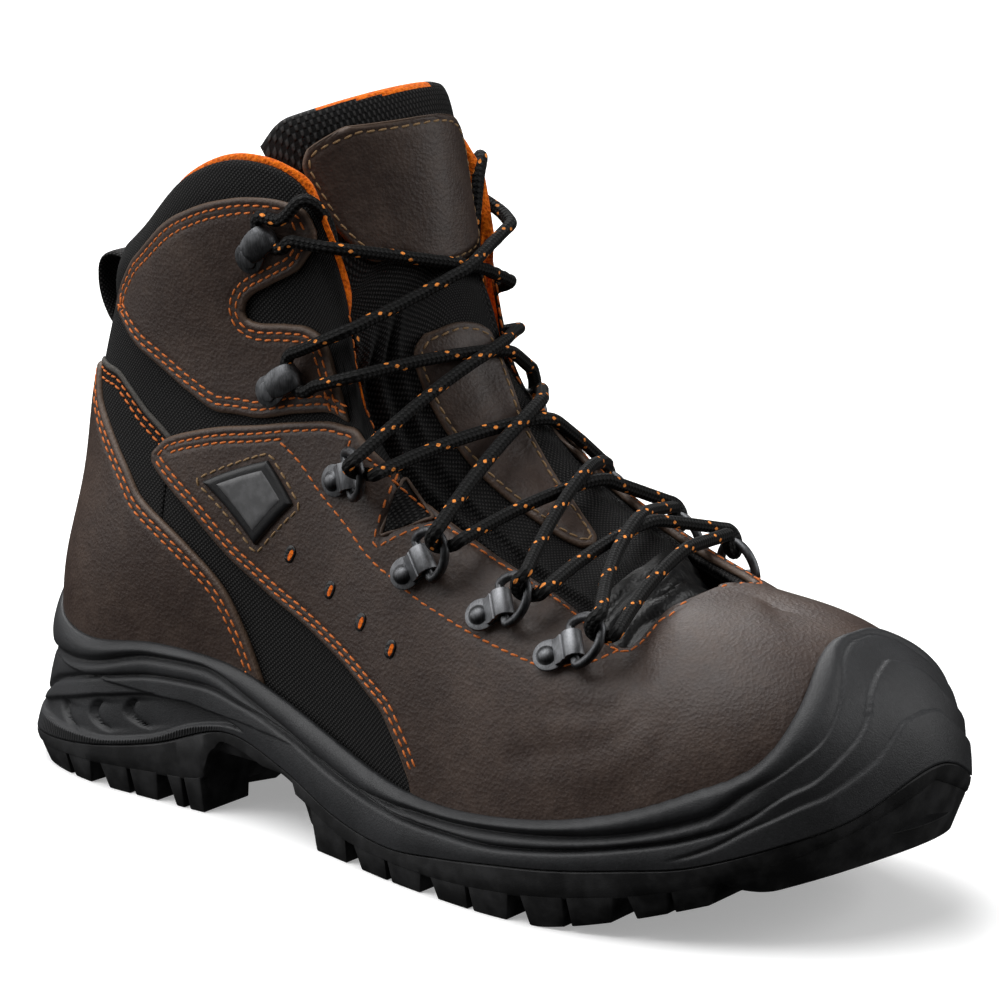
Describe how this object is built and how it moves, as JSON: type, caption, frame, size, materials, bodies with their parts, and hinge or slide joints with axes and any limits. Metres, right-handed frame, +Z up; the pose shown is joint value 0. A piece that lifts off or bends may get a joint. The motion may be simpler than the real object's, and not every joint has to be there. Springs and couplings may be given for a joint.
{
  "type": "safety shoe",
  "caption": "Mid-cut right-foot work boot: lugged rubber outsole, grey midsole with toe and heel bumpers, hollow lined upper with brown leather panels, tongue, laces, hooks and D rings.",
  "frame": {"origin": "centre of the bounding box in plan, on the ground under the lugs", "axes": "+X from the heel to the toe, +Y to the foot's inner side, +Z up"},
  "size_m": [0.309, 0.1124, 0.211],
  "materials": {
    "leather": "oiled brown leather, low sheen",
    "textile": "black woven textile",
    "midsole": "dark grey polyurethane, satin",
    "rubber": "black rubber, matt",
    "metal": "gunmetal, satin",
    "lace": "black cord with orange flecks",
    "insole": "felted sock",
    "badge": "plain moulded patch"
  },
  "bodies": {
    "root": {"ankle_inner": "leather", "ankle_outer": "leather", "badge": "badge", "heel_counter": "leather", "inner_clip_1": "metal", "inner_clip_2": "metal", "inner_clip_3": "metal", "inner_clip_4": "metal", "inner_hook_1": "metal", "inner_hook_2": "metal", "inner_ring_1": "metal", "inner_ring_2": "metal", "inner_ring_3": "metal", "inner_ring_4": "metal", "insole": "insole", "lace_bar": "lace", "lace_cross_1": "lace", "lace_cross_2": "lace", "lace_cross_3": "lace", "lace_cross_4": "lace", "lace_cross_5": "lace", "midsole": "midsole", "outer_clip_1": "metal", "outer_clip_2": "metal", "outer_clip_3": "metal", "outer_clip_4": "metal", "outer_hook_1": "metal", "outer_hook_2": "metal", "outer_ring_1": "metal", "outer_ring_2": "metal", "outer_ring_3": "metal", "outer_ring_4": "metal", "outsole": "rubber", "pull_loop": "textile", "tongue": "textile", "tongue_patch": "leather", "tongue_strip": "leather", "upper": "textile", "vamp_quarter": "leather"}
  },
  "joints": []
}
